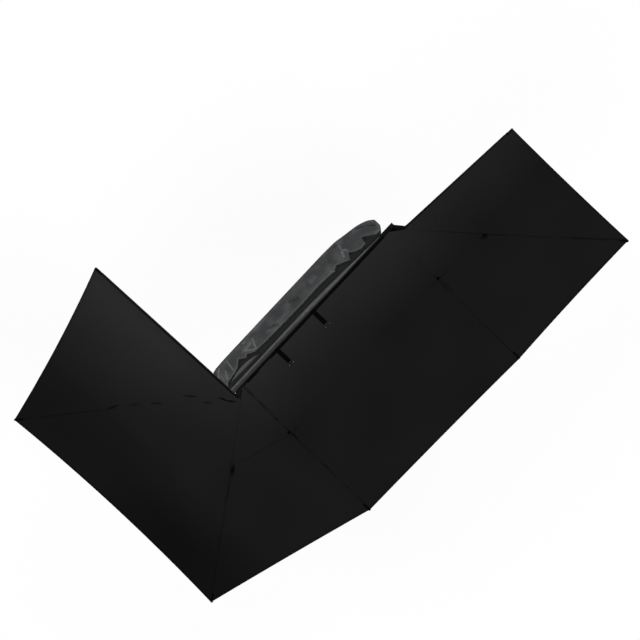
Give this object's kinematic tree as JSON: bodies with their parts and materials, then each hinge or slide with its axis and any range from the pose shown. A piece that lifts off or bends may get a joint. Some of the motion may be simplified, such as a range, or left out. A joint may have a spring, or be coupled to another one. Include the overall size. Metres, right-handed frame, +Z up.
{
  "type": "vehicle side awning",
  "caption": "Free-standing wing awning: a rack-mounted beam with two hubs whose folding arms spread one fan-shaped fabric canopy",
  "frame": {"origin": "middle of the face on which the middle bracket rests on the roof rack", "axes": "+X along the beam to the front of the vehicle, -Y out to the side over the open canopy, +Z up"},
  "size_m": [5.8521, 3.8957, 0.1429],
  "materials": {
    "black_powder_coat": "satin black powder coat",
    "cast_black": "matte black cast",
    "steel": "satin",
    "white_nylon": "satin",
    "black_nylon": "satin",
    "canopy_cloth": "matte ripstop weave",
    "coated_cloth": "semi-gloss coated cloth",
    "webbing": "matte woven webbing"
  },
  "bodies": {
    "base": {"backing_beam": "black_powder_coat", "bracket_1": "black_powder_coat", "bracket_2": "black_powder_coat", "bracket_3": "black_powder_coat", "rear_hub": "cast_black", "front_hub": "cast_black", "rear_hub_pin": "steel", "rear_hub_sleeve": "white_nylon", "rear_inner_pin": "steel", "rear_inner_sleeve": "white_nylon", "front_hub_pin": "steel", "front_hub_sleeve": "white_nylon", "front_inner_pin": "steel", "front_inner_sleeve": "white_nylon", "bracket_1_left_bolt": "steel", "bracket_1_right_bolt": "steel", "bracket_2_left_bolt": "steel", "bracket_2_right_bolt": "steel", "bracket_3_left_bolt": "steel", "bracket_3_right_bolt": "steel", "canopy_edge_strip": "webbing", "rear_strap": "webbing", "front_strap": "webbing", "travel_cover": "coated_cloth", "rear_buckle": "black_nylon", "front_buckle": "black_nylon", "canopy_panel_cd": "canopy_cloth"},
    "arm_g": {"arm_g_knuckle": "cast_black", "arm_g_tube": "black_powder_coat", "arm_g_cap": "black_nylon", "canopy_panel_fg": "canopy_cloth"},
    "arm_f": {"arm_f_knuckle": "cast_black", "arm_f_tube": "black_powder_coat", "arm_f_cap": "black_nylon", "canopy_panel_ef": "canopy_cloth"},
    "arm_e": {"arm_e_knuckle": "cast_black", "arm_e_tube": "black_powder_coat", "arm_e_cap": "black_nylon", "canopy_panel_de": "canopy_cloth"},
    "arm_d": {"arm_d_knuckle": "cast_black", "arm_d_tube": "black_powder_coat", "arm_d_cap": "black_nylon"},
    "arm_c": {"arm_c_knuckle": "cast_black", "arm_c_tube": "black_powder_coat", "arm_c_cap": "black_nylon"},
    "arm_b": {"arm_b_knuckle": "cast_black", "arm_b_tube": "black_powder_coat", "arm_b_cap": "black_nylon", "canopy_panel_bc": "canopy_cloth"},
    "arm_a": {"arm_a_knuckle": "cast_black", "arm_a_tube": "black_powder_coat", "arm_a_cap": "black_nylon", "canopy_panel_ab": "canopy_cloth"}
  },
  "joints": [
    {"name": "arm_g_fold", "type": "hinge", "parent": "base", "child": "arm_g", "pos_m": [-1.28, -0.2003, 0.07], "axis": [0, 0, 1], "range_deg": [0, 269.1], "deforming": ["canopy_panel_fg"]},
    {"name": "arm_f_fold", "type": "hinge", "parent": "base", "child": "arm_f", "pos_m": [-1.28, -0.2003, 0.07], "axis": [0, 0, 1], "range_deg": [0, 222.7], "deforming": ["canopy_panel_ef"]},
    {"name": "arm_e_fold", "type": "hinge", "parent": "base", "child": "arm_e", "pos_m": [-1.28, -0.2003, 0.07], "axis": [0, 0, 1], "range_deg": [0, 145.9], "deforming": ["canopy_panel_de"]},
    {"name": "arm_d_fold", "type": "hinge", "parent": "base", "child": "arm_d", "pos_m": [-1.14, -0.1303, 0.07], "axis": [0, 0, 1], "range_deg": [0, 90.7], "deforming": ["canopy_panel_cd"]},
    {"name": "arm_c_fold", "type": "hinge", "parent": "base", "child": "arm_c", "pos_m": [1.14, -0.1303, 0.07], "axis": [0, 0, -1], "range_deg": [0, 89.1]},
    {"name": "arm_b_fold", "type": "hinge", "parent": "base", "child": "arm_b", "pos_m": [1.28, -0.2003, 0.07], "axis": [0, 0, -1], "range_deg": [0, 130.8], "deforming": ["canopy_panel_bc"]},
    {"name": "arm_a_fold", "type": "hinge", "parent": "base", "child": "arm_a", "pos_m": [1.28, -0.2003, 0.07], "axis": [0, 0, -1], "range_deg": [0, 175.8], "deforming": ["canopy_panel_ab"]}
  ],
  "couplings": [
    {"joint": "arm_f_fold", "follows": "arm_g_fold", "ratio": 0.82757},
    {"joint": "arm_e_fold", "follows": "arm_g_fold", "ratio": 0.54218},
    {"joint": "arm_d_fold", "follows": "arm_g_fold", "ratio": 0.33705},
    {"joint": "arm_c_fold", "follows": "arm_g_fold", "ratio": 0.3311},
    {"joint": "arm_b_fold", "follows": "arm_g_fold", "ratio": 0.48607},
    {"joint": "arm_a_fold", "follows": "arm_g_fold", "ratio": 0.65329}
  ]
}
